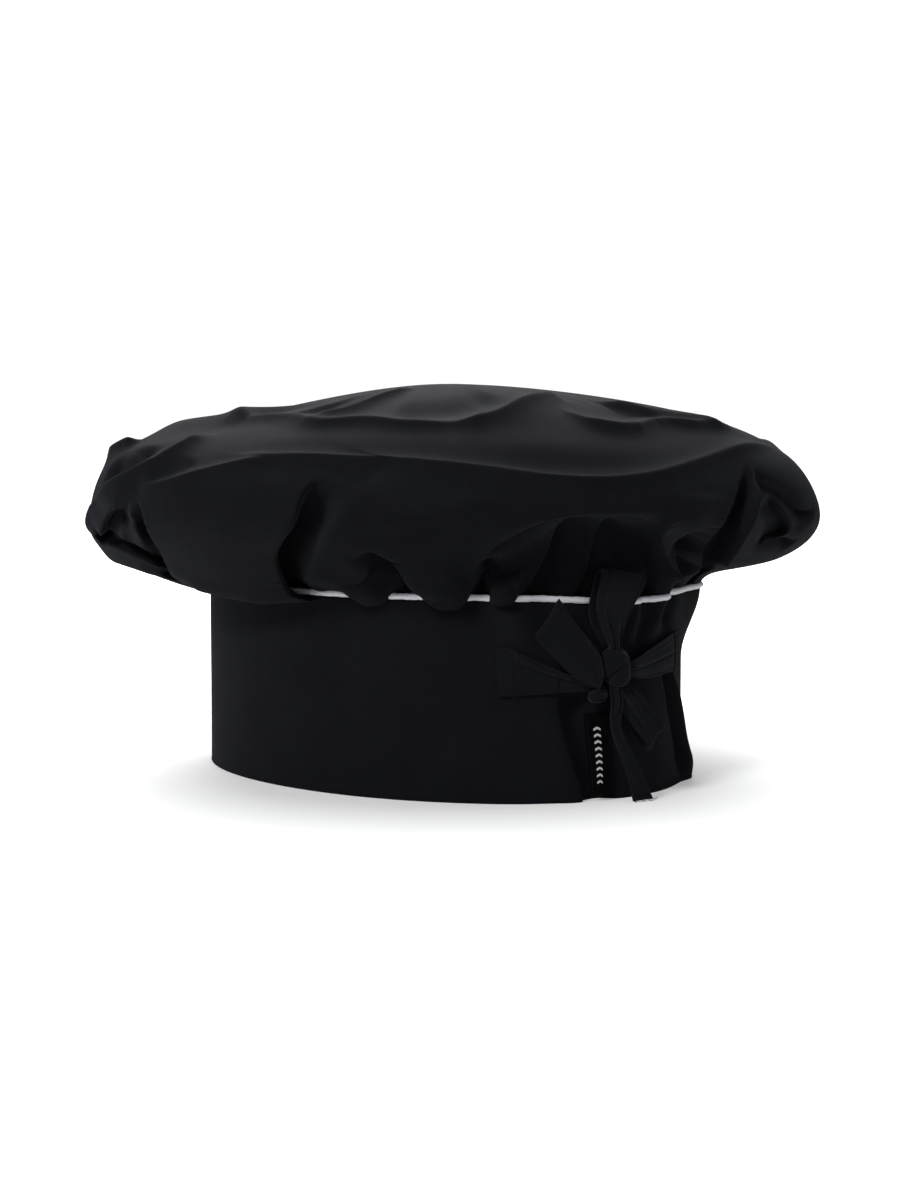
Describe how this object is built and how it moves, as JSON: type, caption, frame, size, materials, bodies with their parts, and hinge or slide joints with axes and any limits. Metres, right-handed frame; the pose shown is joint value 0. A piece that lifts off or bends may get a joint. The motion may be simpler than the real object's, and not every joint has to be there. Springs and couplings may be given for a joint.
{
  "type": "chef toque",
  "caption": "Low black cloth chef's hat: stiffened oval band, full gathered crown, white piping at the seam, and a tie bow at the back.",
  "frame": {"origin": "centre of the head opening, in the plane the band's lower edge stands on", "axes": "+Z from the head opening up to the crown, -Y the way the wearer faces, +Y the back with the bow, +X the wearer's left"},
  "size_m": [0.2868, 0.2884, 0.152],
  "materials": {
    "black_cloth": "matt black poly-cotton twill",
    "lining_cloth": "matt black plain weave",
    "interfacing": "stiff bonded white fibre",
    "white_piping": "fine white cotton cut on the bias",
    "cotton_cord": "soft twisted cotton",
    "black_thread": "slightly shiny polyester thread",
    "satin_label": "black woven satin with a plain pale pattern"
  },
  "bodies": {
    "hat": {"band_outer_cloth": "black_cloth", "band_interfacing": "interfacing", "band_lining": "lining_cloth", "piping_cover": "white_piping", "piping_cord": "cotton_cord", "crown_cloth": "black_cloth", "left_tie_strap": "black_cloth", "right_tie_strap": "black_cloth", "left_strap_stitching": "black_thread", "right_strap_stitching": "black_thread", "bow_knot": "black_cloth", "knot_tuck": "black_cloth", "back_label": "satin_label", "label_stitching": "black_thread"},
    "upper_loop": {"upper_loop": "black_cloth"},
    "lower_loop": {"lower_loop": "black_cloth"},
    "upper_tail": {"upper_tail": "black_cloth", "upper_tail_hem": "black_thread"},
    "lower_tail": {"lower_tail": "black_cloth", "lower_tail_hem": "black_thread"}
  },
  "joints": [
    {"name": "upper_loop_lift", "type": "hinge", "parent": "hat", "child": "upper_loop", "pos_m": [0.01391, 0.1111, 0.0575], "axis": [-0.9826, 0.1857, 0], "range_deg": [0, 80], "stiffness_Nm_per_rad": 0.0006, "springref_deg": -17.19},
    {"name": "lower_loop_lift", "type": "hinge", "parent": "hat", "child": "lower_loop", "pos_m": [0.00629, 0.11254, 0.04245], "axis": [0.7877, -0.1489, -0.5978], "range_deg": [0, 60]},
    {"name": "upper_tail_lift", "type": "hinge", "parent": "hat", "child": "upper_tail", "pos_m": [0.0225, 0.10917, 0.047], "axis": [0, 0, 1], "range_deg": [0, 75], "stiffness_Nm_per_rad": 0.0006, "springref_deg": -17.19},
    {"name": "lower_tail_lift", "type": "hinge", "parent": "hat", "child": "lower_tail", "pos_m": [0.01509, 0.11301, 0.0405], "axis": [0.9826, -0.1857, 0], "range_deg": [0, 60]}
  ]
}
